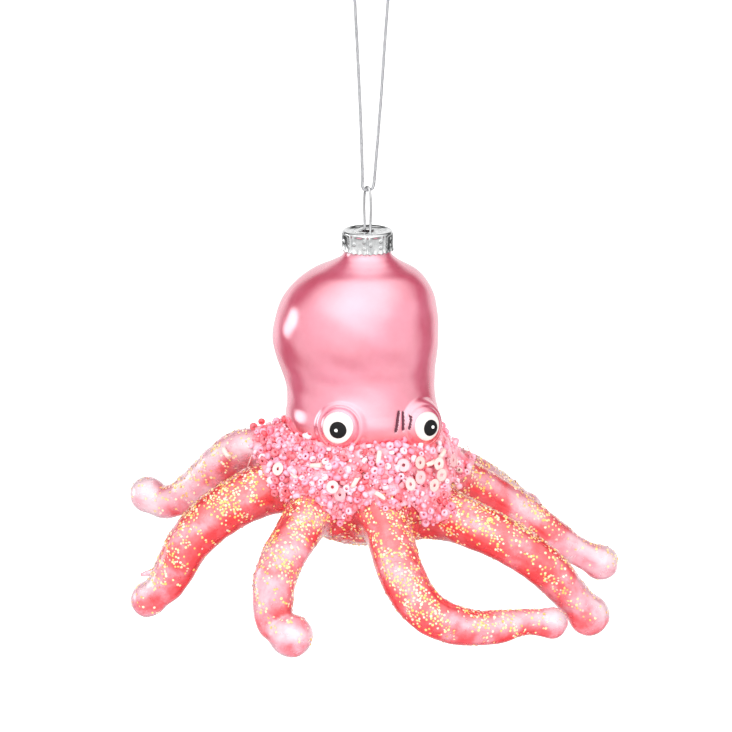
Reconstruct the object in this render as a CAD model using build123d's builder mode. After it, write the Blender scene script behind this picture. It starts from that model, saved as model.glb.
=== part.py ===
"""Blown-glass octopus ornament, hanging from a metallic cord.

Millimetres. +Z is up and the octopus looks towards -Y. The origin is the top of the cord loop,
where a hook or twig carries it, and the cord, the wire and the cap hang straight below it.

    cord loop, tied in a knot
      hanger wire, hooked through the bottom of the loop
        metal cap, turning on the wire's two legs
          glass body, gripped by the wire's spring legs inside its neck:
          lacquered head, clear hub with eight drawn arms, painted eyes, glued trim
"""

import os
from math import cos, pi, radians, sin, sqrt, tan

from build123d import *

os.makedirs("parts", exist_ok=True)

# ---- cord ---------------------------------------------------------------------------------
cord_diameter = 0.9
cord_turn = -18.0  # the loop hangs in a vertical plane turned this far about Z
bight_half = 1.35  # half the width of the loop's bottom
bight_height = -62.0
top_left, top_right = -3.9, 5.9  # the loop's two corners over the hook
knot_top, knot_bottom = -7.6, -10.4
knot_radius = 1.25
tail_length = 5.5

# ---- hanger wire and cap ------------------------------------------------------------------
wire_diameter = 0.6
wire_turn = 62.0  # the wire's plane is turned this far from the cord's
arch_half = 1.35
loop_half = 1.75  # widest part of the wire's eye
leg_gap = 0.1  # between a leg and the edge of the cap's hole
leg_splay = 3.55  # how far the spring legs spread inside the neck
leg_length = 22.0  # below the top of the cap
cap_radius = 6.15
cap_sheet = 0.4
cap_height = 4.8
cap_top = -71.7
cap_hole_radius = 1.8
cap_scallops = 14
scallop_radius = 0.55

# ---- head ---------------------------------------------------------------------------------
glass_wall = 0.9
neck_gap = 0.4  # between the neck and the cap's skirt
neck_drop = 0.15  # between the neck's lip and the underside of the cap
bulb_radius = 20.0
bulb_height = -98.6
bulb_squareness = 0.87  # 1 is a true ball, less is flatter on top
bulb_shift = (-1.8, 3.7)  # the bulb leans back and to one side of the cap
waist_radius = 17.9
waist_height = -109.5
brow_radius = 18.5
brow_height = -117.0
foot_drop = 7.6  # from the brow down to the head's flat foot
base_shift = (-1.2, 0.4)  # the head's foot and the hub stand on this axis

# ---- eyes ---------------------------------------------------------------------------------
eye_spread = 35.0  # each eye is this far round from the middle of the face
eye_tilt = 8.0
eye_height = -116.6
socket_radius = 7.2
socket_reach = 20.7  # front of a socket from the foot's axis
paint = 0.25
pupil_radius = 2.0
glint_radius = 0.42
white_radii = {"left": 3.85, "right": 3.4}

# ---- hub, arms and trim -------------------------------------------------------------------
hub_radius = 21.6
hub_height = -132.1
hub_bottom = -149.0
hub_base_radius = 22.9  # the underside is a shallower ball than the sides
hub_wall = 1.3
arms_height = -134.0
glue_thickness = 0.6
glue_bite = 0.25  # how deep the trim sits in it
glue_top = -121.2
glue_depth = 12.5  # how far the glue runs down the hub
bead_radius = 1.05
bead_pitch = 2.7
bugle_radius = 0.6
bugle_length = 3.2
sequin_radius = 1.6
sequin_hole = 0.4
sequin_thickness = 0.25
thread_hole = 0.35

# Each arm: heading about Z from the face, then points along its middle, as
# (out from the hub, sideways, above the arms' height, radius). The last is the tip's ball.
arms = {
    "arm_front": (0, [
        (-8.3, -1.3, 2.5, 5.4), (-3.6, -1.4, -0.6, 5.6), (2.3, -1.2, -6.1, 5.6),
        (6.6, -0.9, -11.3, 5.5),
        (11.1, 0.0, -16.0, 5.4), (14.0, 2.1, -20.5, 5.2), (16.0, 5.4, -24.0, 5.0),
        (16.6, 10.3, -26.4, 4.7), (16.4, 16.4, -27.9, 4.3), (16.2, 22.5, -28.1, 4.0),
        (15.3, 28.9, -27.8, 3.6), (14.3, 35.2, -28.8, 3.6)]),
    "arm_front_right": (45, [
        (-7.7, -0.8, -2.0, 6.0), (2.3, -0.2, -5.4, 6.0), (9.6, 0.1, -7.6, 5.6),
        (16.3, 1.3, -10.4, 5.3), (21.6, 4.0, -14.3, 5.1), (25.9, 7.3, -19.0, 4.9),
        (28.8, 10.0, -23.9, 4.7), (31.6, 13.4, -29.6, 4.8)]),
    "arm_right": (88, [
        (-4.5, 0.3, 3.7, 4.8), (1.8, 0.6, 0.5, 4.6), (8.1, 0.9, -3.5, 4.5),
        (14.5, 1.1, -7.7, 4.4), (20.5, 0.4, -12.1, 4.3), (25.9, -0.1, -16.4, 4.1),
        (30.8, -0.4, -20.2, 3.9), (36.9, -1.2, -23.7, 4.1)]),
    "arm_back_right": (135, [
        (-3.6, 0.0, 3.4, 4.8), (4.4, -2.4, 1.2, 4.7), (13.9, -5.6, -2.8, 4.5),
        (21.6, -9.8, -7.5, 4.3), (28.8, -12.8, -12.7, 4.0), (34.2, -16.5, -17.9, 4.0)]),
    "arm_back_left": (200, [
        (-3.6, 0.1, -0.5, 4.6), (5.6, 3.9, -6.2, 4.6), (13.2, 8.6, -11.2, 4.5),
        (19.2, 13.1, -16.6, 4.3), (24.4, 16.6, -22.8, 4.0), (28.4, 19.6, -28.4, 3.5)]),
    "arm_left_back": (243, [
        (-4.5, -0.2, 6.5, 5.0), (2.7, 0.6, 7.6, 4.8), (8.3, -0.3, 6.7, 4.7),
        (12.8, -1.6, 3.2, 4.6), (17.2, -3.0, -1.3, 4.5), (21.0, -4.4, -5.0, 4.3),
        (24.9, -5.8, -7.9, 4.1), (28.8, -7.2, -9.0, 3.9), (32.4, -8.7, -7.6, 4.4)]),
    "arm_left": (280, [
        (-5.4, -2.8, 2.9, 6.2), (1.3, -4.0, 0.6, 6.2), (7.6, -5.2, -1.7, 6.1),
        (13.4, -6.2, -4.7, 5.8), (18.4, -7.7, -8.9, 5.5), (21.5, -9.3, -13.3, 5.2),
        (23.1, -11.2, -18.0, 4.9), (24.6, -13.7, -22.9, 4.4), (27.7, -17.1, -27.2, 4.2)]),
    "arm_front_left": (318, [
        (-7.0, -3.1, 2.3, 5.6), (-2.5, -3.6, -0.9, 5.6), (2.8, -4.2, -4.4, 5.5),
        (9.1, -4.8, -8.4, 5.3), (13.8, -5.6, -12.3, 5.2), (16.3, -6.1, -16.8, 5.1),
        (17.4, -5.8, -21.2, 4.9), (18.2, -0.8, -28.5, 5.2)]),
}
drawn_tail = (33.0, 26.0, -30.6)  # where the back left arm's glass was drawn off
drawn_tail_radius = 1.7

# ---- frames shared by several pieces ------------------------------------------------------
bight_radius = 0.45 * 2 * bight_half / tan(radians(43))
wire_top = bight_height + (cord_diameter + wire_diameter) / 2 + 0.05
neck_radius = cap_radius - cap_sheet - neck_gap
neck_lip = cap_top - cap_sheet - neck_drop
shoulder_height = bulb_height + bulb_radius + 0.3
foot_axis = Vector(*base_shift)
cord_plane = Plane((0, 0, 0), x_dir=Vector(1, 0, 0).rotate(Axis.Z, cord_turn),
                   z_dir=Vector(0, -1, 0).rotate(Axis.Z, cord_turn))
wire_plane = Plane((0, 0, 0), x_dir=cord_plane.x_dir.rotate(Axis.Z, -wire_turn),
                   z_dir=cord_plane.z_dir.rotate(Axis.Z, -wire_turn))


def keep(piece, name):
    """Label a finished piece and write it as its own STEP file."""
    piece.part.label = name
    export_step(piece.part, f"parts/{name}.step")


def tangent_radii(points):
    """The largest arc at each corner that both of its runs leave room for."""
    radii = []
    for before, corner, after in zip(points, points[1:], points[2:]):
        come, go = Vector(corner) - Vector(before), Vector(after) - Vector(corner)
        shorter = min(come.length, go.length)
        radii.append(0.45 * shorter / tan(radians(come.get_angle(go)) / 2))
    return radii


def round_tube(plane, points, diameter, name):
    """A round tube along straight runs joined by tangent arcs, drawn in one plane."""
    radii = tangent_radii(points)
    with BuildPart() as tube:
        with BuildLine(plane) as route:
            FilletPolyline(*points, radius=radii)
        with BuildSketch(Plane(route.line @ 0, z_dir=route.line % 0)):
            Circle(diameter / 2)
        sweep(path=route.line)
    long = route.wires()[0].length
    share = tube.part.volume / (long * pi * diameter**2 / 4)
    print(name, "length", round(long, 1), "radii", [round(r, 1) for r in radii], round(share, 3))
    return tube


# ---- cord loop: one limp metallic cord, from the knot over the hook, down and back --------
cord_route = [
    (5.4, knot_top), (top_right, 0), (top_left, 0), (-3.0, -16), (-1.8, -40), (-1.35, -53),
    (-1.2, -59), (-bight_half, bight_height), (bight_half, bight_height), (1.7, -59),
    (2.15, -53), (3.2, -40), (4.1, -26), (4.75, -17), (5.25, knot_bottom),
]
cord_loop = round_tube(cord_plane, cord_route, cord_diameter, "cord")
keep(cord_loop, "cord_loop")

# ---- knot: an overhand knot in the two ends, whose tails point up and aside ---------------
knot_middle = cord_plane.from_local_coords((5.3, (knot_top + knot_bottom) / 2, 0))
with BuildPart() as cord_knot:
    with Locations(knot_middle):
        Cylinder(knot_radius, knot_top - knot_bottom)
    fillet(cord_knot.edges(), 0.55)
    for turn in (25, 60):
        tail = cord_plane.x_dir.rotate(Axis(knot_middle, cord_plane.z_dir), turn)
        with BuildSketch(Plane(knot_middle, z_dir=tail)):
            Circle(cord_diameter / 2)
        extrude(amount=tail_length)
    add(cord_loop.part, mode=Mode.SUBTRACT)
keep(cord_knot, "cord_knot")

# ---- hanger wire: an eye above the cap, two legs through its hole, sprung apart below -----
leg_offset = cap_hole_radius - leg_gap - wire_diameter / 2
half_wire = [
    (arch_half, wire_top), (loop_half, wire_top - 4.8), (leg_offset + 0.04, cap_top + 1.2),
    (leg_offset - 0.04, cap_top - 1.8), (leg_splay, cap_top - leg_length + 3),
    (leg_splay - 0.9, cap_top - leg_length),
]
wire_route = [(-across, height) for across, height in reversed(half_wire)] + half_wire
keep(round_tube(wire_plane, wire_route, wire_diameter, "wire"), "hanger_wire")

# ---- cap: a thin pressed cup with a rolled shoulder, a dished top and a scalloped skirt ----
with BuildPart() as cap:
    with BuildSketch(Plane.XZ):
        with BuildLine():
            Polyline(
                (cap_hole_radius, cap_top - cap_sheet), (cap_hole_radius, cap_top),
                (cap_radius - cap_sheet, cap_top), (cap_radius, cap_top - cap_sheet),
                (cap_radius, cap_top - cap_height),
                (cap_radius - cap_sheet, cap_top - cap_height),
                (cap_radius - cap_sheet, cap_top - cap_sheet),
                close=True,
            )
        make_face()
    revolve(axis=Axis.Z)
    with Locations((0, 0, cap_top - cap_height)):
        with PolarLocations(cap_radius, cap_scallops):
            Cylinder(scallop_radius, 2 * cap_sheet + 1, rotation=(0, 90, 0), mode=Mode.SUBTRACT)
keep(cap, "cap")


# ---- head: blown thin, lacquered inside, with a cut neck above and two pressed sockets -----
def head_axis(height):
    """The middle of the head at a height: it leans from the neck to the bulb and back."""
    top, bulb = Vector(0, 0), Vector(*bulb_shift)
    if height > bulb_height:
        share = (bulb_height + bulb_radius - height) / bulb_radius
        return top + (bulb - top) * sin(radians(90 * min(1, max(0, share))))
    share = min(1, (bulb_height - height) / (bulb_height - brow_height))
    return bulb + (foot_axis - bulb) * (1 - cos(radians(180 * share))) / 2


def head_form(inset):
    """The head's solid form, drawn in by a wall's thickness to give its inside."""
    rows = [(shoulder_height, neck_radius + 0.9)]
    for angle in (24, 37, 50, 63, 76, 90):
        rows.append((bulb_height + bulb_radius * cos(radians(angle)) ** bulb_squareness,
                     bulb_radius * sin(radians(angle)) ** bulb_squareness))
    rows += [
        (bulb_height - 0.42 * (bulb_height - waist_height), bulb_radius - 0.7),
        (waist_height, waist_radius),
    ]
    for drop, narrower in ((0, 0), (3.6, 0.6), (6.2, 3.3), (foot_drop, 9.0)):
        under = inset * drop / foot_drop  # the wall turns in under the brow
        rows.append((brow_height - drop + under, brow_radius - narrower))
    rows[0] = (rows[0][0] - inset, rows[0][1])
    with BuildPart() as form:
        for height, radius in rows:
            middle = head_axis(height)
            with BuildSketch(Plane((middle.X, middle.Y, height))):
                Circle(radius - inset)
        loft()
    return form.part


def eye_plane(side):
    """The middle of a socket's sphere, looking out along the eye."""
    turn = eye_spread if side == "right" else -eye_spread
    level = Vector(0, -1, 0).rotate(Axis.Z, turn)
    ahead = (level + Vector(0, 0, tan(radians(eye_tilt)))).normalized()
    middle = foot_axis + level * (socket_reach - socket_radius) + Vector(0, 0, eye_height)
    return Plane(middle, x_dir=Vector(1, 0, 0).rotate(Axis.Z, turn), z_dir=ahead)


with BuildPart() as head_solid:
    add(head_form(0))
    for side in white_radii:
        with Locations(eye_plane(side)):
            Sphere(socket_radius)

with BuildPart() as head_shell:
    add(head_solid.part)
    with BuildSketch(Plane.XY.offset(shoulder_height - 1.5)):
        Circle(neck_radius)
    extrude(amount=neck_lip - shoulder_height + 1.5)
    add(head_form(glass_wall), mode=Mode.SUBTRACT)
    with BuildSketch(Plane.XY.offset(shoulder_height - 3.0)):
        Circle(neck_radius - glass_wall)
    extrude(amount=neck_lip - shoulder_height + 3.0, mode=Mode.SUBTRACT)
keep(head_shell, "head_shell")

# ---- eyes: three coats of enamel on each socket, white, then black, then a white dot -------
for side, white_radius in white_radii.items():
    coats = [("white", white_radius, 0), ("pupil", pupil_radius, 0), ("glint", glint_radius, -0.35)]
    for coat, (layer, radius, aside) in enumerate(coats):
        under = socket_radius + coat * paint
        with BuildPart(eye_plane(side)) as eye_coat:
            Sphere(under + paint)
            with Locations((aside, 0, socket_radius)):
                Cylinder(radius, socket_radius, mode=Mode.INTERSECT)
            Sphere(under, mode=Mode.SUBTRACT)
        keep(eye_coat, f"eye_{layer}_{side}")


# ---- hub: a clear glass bowl under the head ------------------------------------------------
def hub_form(grow):
    """The hub's solid form: a ball whose underside is cut by a shallower one."""
    with BuildPart() as form:
        with Locations((foot_axis.X, foot_axis.Y, hub_height)):
            Sphere(hub_radius + grow)
        with Locations((foot_axis.X, foot_axis.Y, hub_bottom + hub_base_radius)):
            Sphere(hub_base_radius + grow, mode=Mode.INTERSECT)
    return form.part


hub_solid = hub_form(0)
with BuildPart() as arm_hub:
    add(hub_solid)
    add(hub_form(-hub_wall), mode=Mode.SUBTRACT)
    add(head_solid.part, mode=Mode.SUBTRACT)
keep(arm_hub, "arm_hub")


# ---- arms: eight tubes drawn out of the hub, each ending in a ball -------------------------
def arm_points(heading, points):
    """An arm's points in the part's frame."""
    out = Vector(0, -1, 0).rotate(Axis.Z, heading)
    aside = Vector(1, 0, 0).rotate(Axis.Z, heading)
    return [
        foot_axis + out * (hub_radius + reach) + aside * side + Vector(0, 0, arms_height + rise)
        for reach, side, rise, radius in points
    ]


def arm_form(heading, points, inset):
    """A solid arm, drawn in by a wall's thickness to give its inside."""
    middle = arm_points(heading, points)
    line = Spline(*middle)
    across = Vector(1, 0, 0).rotate(Axis.Z, heading)
    ball = points[-1][3]
    with BuildPart() as form:
        for place, (reach, side, rise, radius) in zip(middle, points):
            along = line.tangent_at(line.param_at_point(place))
            across = (across - along * across.dot(along)).normalized()
            with BuildSketch(Plane(place, x_dir=across, z_dir=along)):
                Circle((0.85 * ball if place is middle[-1] else radius) - inset)
        loft()
        with Locations(Plane(middle[-1], x_dir=across, z_dir=along)):
            Sphere(ball - inset)
    return form.part


arm_solids = {}
for name, (heading, points) in arms.items():
    with BuildPart() as solid:
        add(arm_form(heading, points, 0))
        if name == "arm_back_left":
            ball, tail = arm_points(heading, [points[-1], (*drawn_tail, 0)])
            with Locations(Plane(ball, z_dir=tail - ball)):
                Cone(drawn_tail_radius, 0.3, (tail - ball).length,
                     align=(Align.CENTER, Align.CENTER, Align.MIN))
    arm_solids[name] = solid.part
    with BuildPart() as arm:
        add(solid.part)
        add(hub_solid, mode=Mode.SUBTRACT)
        add(arm_form(heading, points, glass_wall), mode=Mode.SUBTRACT)
    keep(arm, name)


# ---- trim: beads and sequins on the joint of head, hub and arms, bedded in clear glue ------
def on_hub(azimuth, height, lift):
    """A plane facing out from the hub, lifted off it by this much."""
    rise = (height - hub_height) / hub_radius
    normal = Vector(0, -sqrt(1 - rise**2), rise).rotate(Axis.Z, azimuth)
    place = foot_axis + Vector(0, 0, hub_height) + normal * (hub_radius + lift)
    return Plane(place, x_dir=Vector(1, 0, 0).rotate(Axis.Z, azimuth), z_dir=normal)


def clear_of_arms(place, room):
    """Whether a ball with this much room round it stands clear of every arm."""
    for heading, points in arms.values():
        line = Spline(*arm_points(heading, points), mode=Mode.PRIVATE)
        if line.distance_to(place) < max(point[3] for point in points[:2]) + room:
            return False
    return True


bedded = glue_thickness - glue_bite
bead_rows = [glue_top - 1.3, glue_top - 1.3 - bead_pitch]
beads = {"seed_beads_pink": [], "seed_beads_red": []}
for row, height in enumerate(bead_rows):
    row_radius = sqrt(hub_radius**2 - (height - hub_height) ** 2)
    count = int(2 * pi * row_radius / bead_pitch)
    for place_in_row in range(count):
        seat = on_hub((place_in_row + row / 2) * 360 / count, height, bedded + bead_radius)
        if clear_of_arms(seat.origin, bead_radius + 0.1):
            beads["seed_beads_red" if place_in_row % 4 == 0 else "seed_beads_pink"].append(seat)
bead_groups = {}
for name, seats in beads.items():
    with BuildPart() as bead_group:
        with Locations(*seats):
            Sphere(bead_radius)
            Cylinder(thread_hole, 2.4 * bead_radius, rotation=(90, 0, 0), mode=Mode.SUBTRACT)
    keep(bead_group, name)
    bead_groups[name] = bead_group.part

bugle_seats = [(62, -128.2, 15), (70, -131.0, -20), (19, -128.2, 80), (-22, -128.2, 60),
               (-62, -128.4, -30), (158, -128.5, 20), (168, -131.5, -15)]
with BuildPart() as bugle_beads:
    for azimuth, height, turn in bugle_seats:
        seat = on_hub(azimuth, height, bedded + bugle_radius + 0.1)
        along = seat.x_dir.rotate(Axis((0, 0, 0), seat.z_dir), turn)
        with Locations(Plane(seat.origin, x_dir=along, z_dir=seat.z_dir)):
            Cylinder(bugle_radius, bugle_length, rotation=(0, 90, 0))
            Cylinder(thread_hole, bugle_length, rotation=(0, 90, 0), mode=Mode.SUBTRACT)
keep(bugle_beads, "bugle_beads")

sequin_seats = [(27, -128.0), (25, -132.0), (33.5, -130.6), (38, -127.6), (-38, -128.4), (-27, -131.8)]
with BuildPart() as sequins:
    for azimuth, height in sequin_seats:
        with Locations(on_hub(azimuth, height, glue_thickness + sequin_thickness / 2)):
            Cylinder(sequin_radius, sequin_thickness)
            Cylinder(sequin_hole, sequin_thickness, mode=Mode.SUBTRACT)
keep(sequins, "sequins")

# ---- glue: a clear collar over the joint, with the trim's seats in it -----------------------
with BuildPart() as glue_collar:
    add(hub_form(glue_thickness))
    with Locations((foot_axis.X, foot_axis.Y, glue_top)):
        Cylinder(2 * hub_radius, glue_depth, align=(Align.CENTER, Align.CENTER, Align.MAX),
                 mode=Mode.INTERSECT)
    add(hub_solid, mode=Mode.SUBTRACT)
    add(head_solid.part, mode=Mode.SUBTRACT)
    for solid in (*arm_solids.values(), *bead_groups.values(), bugle_beads.part, sequins.part):
        add(solid, mode=Mode.SUBTRACT)
keep(glue_collar, "glue_collar")

print("beads", {name: len(seats) for name, seats in beads.items()})
print("bight radius", round(bight_radius, 2), "hinge height", round(bight_height + bight_radius, 2))
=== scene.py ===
"""The looks of a blown-glass octopus ornament on a metallic cord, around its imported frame."""

from math import cos, exp, pi, radians, sin, sqrt, tan

import bmesh
import bpy
import numpy as np
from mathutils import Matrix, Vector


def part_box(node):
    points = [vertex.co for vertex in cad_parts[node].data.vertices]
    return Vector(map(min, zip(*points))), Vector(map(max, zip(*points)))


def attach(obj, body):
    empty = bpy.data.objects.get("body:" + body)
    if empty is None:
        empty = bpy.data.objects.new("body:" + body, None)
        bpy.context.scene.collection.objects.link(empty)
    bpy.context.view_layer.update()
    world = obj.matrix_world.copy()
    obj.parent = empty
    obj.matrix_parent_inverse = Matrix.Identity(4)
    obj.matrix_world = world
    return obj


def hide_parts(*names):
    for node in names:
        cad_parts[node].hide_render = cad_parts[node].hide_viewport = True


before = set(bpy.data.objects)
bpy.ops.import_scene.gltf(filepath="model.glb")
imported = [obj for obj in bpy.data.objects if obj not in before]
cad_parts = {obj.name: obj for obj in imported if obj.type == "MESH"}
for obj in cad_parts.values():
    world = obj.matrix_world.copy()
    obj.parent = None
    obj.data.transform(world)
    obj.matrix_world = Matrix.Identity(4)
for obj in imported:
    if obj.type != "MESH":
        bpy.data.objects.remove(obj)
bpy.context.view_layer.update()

import openvdb
from mathutils import Matrix, Vector
from mathutils.bvhtree import BVHTree

mm = 0.001
scene = bpy.context.scene

# ---- studio ---------------------------------------------------------------------------------
# The ornament hangs in a soft white room, bright in front and behind with a dim band between,
# over a pale floor well below it. A long lens looks slightly down on it.
view_azimuth, view_elevation = radians(-18), radians(14)
view_right = Vector((cos(view_azimuth), sin(view_azimuth), 0))
to_camera = Vector((sin(view_azimuth) * cos(view_elevation),
                    -cos(view_azimuth) * cos(view_elevation), sin(view_elevation)))
aim = view_right * -0.36 * mm + Vector((0, 0, -105.3 * mm))

camera = bpy.data.objects.new("studio_camera", bpy.data.cameras.new("studio_camera"))
camera.data.lens, camera.data.sensor_width = 500, 36
camera.data.clip_start, camera.data.clip_end = 0.1, 50
camera.location = aim + to_camera * 2.44
camera.rotation_mode = "QUATERNION"
camera.rotation_quaternion = (-to_camera).to_track_quat("-Z", "Y")
scene.collection.objects.link(camera)
scene.camera = camera
scene.view_settings.view_transform = "Standard"


def new_material(name):
    """A material with its node tree, its shader and the tree's nodes and links."""
    material = bpy.data.materials.new(name)
    material.use_nodes = True
    tree = material.node_tree
    return material, tree, tree.nodes["Principled BSDF"]


def finish_shader(shader, **sockets):
    """Sets a shader's or node's constant sockets, with spaces in their names as underscores."""
    for socket, value in sockets.items():
        shader.inputs[socket.replace("_", " ")].default_value = value


def set_stops(ramp, stops):
    """Gives a colour ramp these stops of place and colour."""
    elements = ramp.color_ramp.elements
    while len(elements) < len(stops):
        elements.new(0.5)
    for element, (place, colour) in zip(elements, stops):
        element.position, element.color = place, (*colour, 1)


floor_material, tree, shader = new_material("pale_floor")
finish_shader(shader, Base_Color=(0.9, 0.9, 0.9, 1), Roughness=0.9,
              Emission_Color=(1, 1, 1, 1), Emission_Strength=0.55)
floor_mesh = bpy.data.meshes.new("pale_floor")
floor_mesh.from_pydata([(-15, -15, -0.25), (15, -15, -0.25), (15, 15, -0.25), (-15, 15, -0.25)],
                       [], [(0, 1, 2, 3)])
floor_mesh.materials.append(floor_material)
floor = bpy.data.objects.new("pale_floor", floor_mesh)
floor.visible_glossy = False
scene.collection.objects.link(floor)

room = bpy.data.worlds.new("studio_room")
scene.world = room
room.use_nodes = True
tree = room.node_tree
direction = tree.nodes.new("ShaderNodeTexCoord")
facing = tree.nodes.new("ShaderNodeVectorMath")
facing.operation = "DOT_PRODUCT"
facing.inputs[1].default_value = to_camera
half_range = tree.nodes.new("ShaderNodeMapRange")
half_range.inputs["From Min"].default_value = -1
brightness = tree.nodes.new("ShaderNodeValToRGB")
levels = [(0.0, 1.0), (0.10, 0.95), (0.20, 0.10), (0.34, 0.05), (0.50, 0.70), (1.0, 0.86)]
set_stops(brightness, [(place, (level, level, level)) for place, level in levels])
light = tree.nodes["Background"]


def shaded(kind, source, **sockets):
    """A node of the room's tree that reads one socket of another, with its constants set."""
    node = tree.nodes.new(kind)
    finish_shader(node, **sockets)
    tree.links.new(source, node.inputs[0])
    return node


def glow_towards(way, **levels):
    """How strongly the room glows in a direction, falling off smoothly round it."""
    towards = shaded("ShaderNodeVectorMath", direction.outputs["Generated"])
    towards.operation = "DOT_PRODUCT"
    towards.inputs[1].default_value = way
    glow = shaded("ShaderNodeMapRange", towards.outputs["Value"], **levels)
    glow.interpolation_type = "SMOOTHSTEP"
    return glow.outputs["Result"]


# A large soft source high in front, dimmer below, and a small one low at the left behind.
overhead = glow_towards((-0.195, -0.508, 0.839), From_Min=0.3, From_Max=1.0, To_Min=1.0, To_Max=2.2)
low_side = glow_towards((-0.797, 0.600, 0.070), From_Min=0.955, From_Max=0.992, To_Min=0, To_Max=3.0)
height = shaded("ShaderNodeSeparateXYZ", direction.outputs["Generated"])
below = shaded("ShaderNodeMapRange", height.outputs["Z"], From_Min=-0.7, From_Max=-0.25,
               To_Min=0.35, To_Max=1.0)
dimmed = shaded("ShaderNodeMath", overhead)
dimmed.operation = "MULTIPLY"
tree.links.new(below.outputs["Result"], dimmed.inputs[1])
tree.links.new(dimmed.outputs["Value"], light.inputs["Strength"])
side_light = tree.nodes.new("ShaderNodeBackground")
tree.links.new(low_side, side_light.inputs["Strength"])
both = tree.nodes.new("ShaderNodeAddShader")
tree.links.new(light.outputs["Background"], both.inputs[0])
tree.links.new(side_light.outputs["Background"], both.inputs[1])
tree.links.new(both.outputs["Shader"], tree.nodes["World Output"].inputs["Surface"])
tree.links.new(direction.outputs["Generated"], facing.inputs[0])
tree.links.new(facing.outputs["Value"], half_range.inputs["Value"])
tree.links.new(half_range.outputs["Result"], brightness.inputs["Fac"])
tree.links.new(brightness.outputs["Color"], light.inputs["Color"])


def softbox(name, azimuth, elevation, distance, width, height, power):
    """An area light aimed at the ornament, by its place round it, that gloss doesn't mirror."""
    a, e = radians(azimuth), radians(elevation)
    back = Vector((sin(a) * cos(e), -cos(a) * cos(e), sin(e)))
    lamp = bpy.data.lights.new(name, "AREA")
    lamp.shape, lamp.size, lamp.size_y, lamp.energy = "RECTANGLE", width, height, power
    box = bpy.data.objects.new(name, lamp)
    box.location = aim + back * distance
    box.rotation_mode = "QUATERNION"
    box.rotation_quaternion = (-back).to_track_quat("-Z", "Y")
    box.visible_glossy = False
    scene.collection.objects.link(box)


softbox("key_softbox", azimuth=-42, elevation=40, distance=1.1, width=0.55, height=0.4, power=4.4)
softbox("fill_softbox", azimuth=20, elevation=12, distance=1.2, width=0.5, height=0.5, power=2.8)

# ---- cord loop and its knot -----------------------------------------------------------------
# One limp silver cord, braided from six metallic yarns. It runs up from the wire's eye, over
# the hook and back, and its two ends are tied off beside the hook with their tails left long.
cord_across = Vector((cos(radians(-18)), sin(radians(-18)), 0))
cord_normal = cord_across.cross(Vector((0, 0, 1)))
cord_route = [
    (5.4, -7.6), (5.9, 0), (-3.9, 0), (-3.0, -16), (-1.8, -40), (-1.35, -53), (-1.2, -59),
    (-1.35, -62), (1.35, -62), (1.7, -59), (2.15, -53), (3.2, -40), (4.1, -26), (4.75, -17),
    (5.25, -10.4),
]
yarns, yarn_radius, braid_radius, braid_pitch = 6, 0.17 * mm, 0.235 * mm, 2.3 * mm


def spline_line(name, points, steps=24):
    """Points along the smooth open curve that these control points give."""
    curve = bpy.data.curves.new(name, "CURVE")
    curve.dimensions, curve.resolution_u = "3D", steps
    spline = curve.splines.new("NURBS")
    spline.points.add(len(points) - 1)
    for place, point in zip(spline.points, points):
        place.co = (*point, 1)
    spline.order_u, spline.use_endpoint_u = 3, True
    carrier = bpy.data.objects.new(name, curve)
    mesh = bpy.data.meshes.new_from_object(carrier)
    line = [vertex.co.copy() for vertex in mesh.vertices]
    bpy.data.objects.remove(carrier)
    bpy.data.curves.remove(curve)
    bpy.data.meshes.remove(mesh)
    return line


def evenly(line, step):
    """The same line with its points one step apart."""
    line = np.array([tuple(point) for point in line])
    run = np.concatenate([[0], np.cumsum(np.linalg.norm(np.diff(line, axis=0), axis=1))])
    places = np.linspace(0, run[-1], max(3, int(run[-1] / step)))
    return places, np.stack([np.interp(places, run, line[:, axis]) for axis in range(3)], 1)


def tube_faces(rings, sides, first):
    """Faces of a tube of rings, closed at both ends, whose vertices start at first."""
    faces = []
    for ring in range(rings - 1):
        for side in range(sides):
            a, b = first + ring * sides + side, first + ring * sides + (side + 1) % sides
            faces.append((a, b, b + sides, a + sides))
    faces.append(tuple(first + side for side in reversed(range(sides))))
    faces.append(tuple(first + (rings - 1) * sides + side for side in range(sides)))
    return faces


def frames_along(line, normal):
    """Along, side and up at each point of a line, starting with up near a given normal."""
    along = np.gradient(line, axis=0)
    along /= np.linalg.norm(along, axis=1)[:, None]
    ups, up = [], np.array(tuple(normal), float)
    for direction in along:
        up = up - direction * (up @ direction)
        up /= np.linalg.norm(up)
        ups.append(up)
    ups = np.array(ups)
    return along, np.cross(along, ups), ups


def braid(line, normal, sides=5):
    """Vertices and faces of a cord braided from yarns that wind both ways along a line."""
    run, line = evenly(line, 0.17 * mm)
    along, side, up = frames_along(line, normal)
    points, faces = [], []
    for yarn in range(yarns):
        turn = 1 if yarn % 2 else -1
        wind = turn * 2 * pi * run / braid_pitch + 2 * pi * (yarn // 2) / (yarns // 2)
        weave = np.sin(2 * pi * run / braid_pitch * 3 + pi * (yarn % 2))
        lift = braid_radius * (1 + 0.18 * weave)
        middle = line + (side * np.cos(wind)[:, None] + up * np.sin(wind)[:, None]) * lift[:, None]
        _, across, over = frames_along(middle, normal)
        faces += tube_faces(len(middle), sides, first=yarn * len(middle) * sides)
        ring = []
        for corner in range(sides):
            a = 2 * pi * corner / sides
            ring.append(middle + (across * cos(a) + over * sin(a)) * yarn_radius)
        points.append(np.stack(ring, 1).reshape(-1, 3))
    return np.concatenate(points), faces


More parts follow.
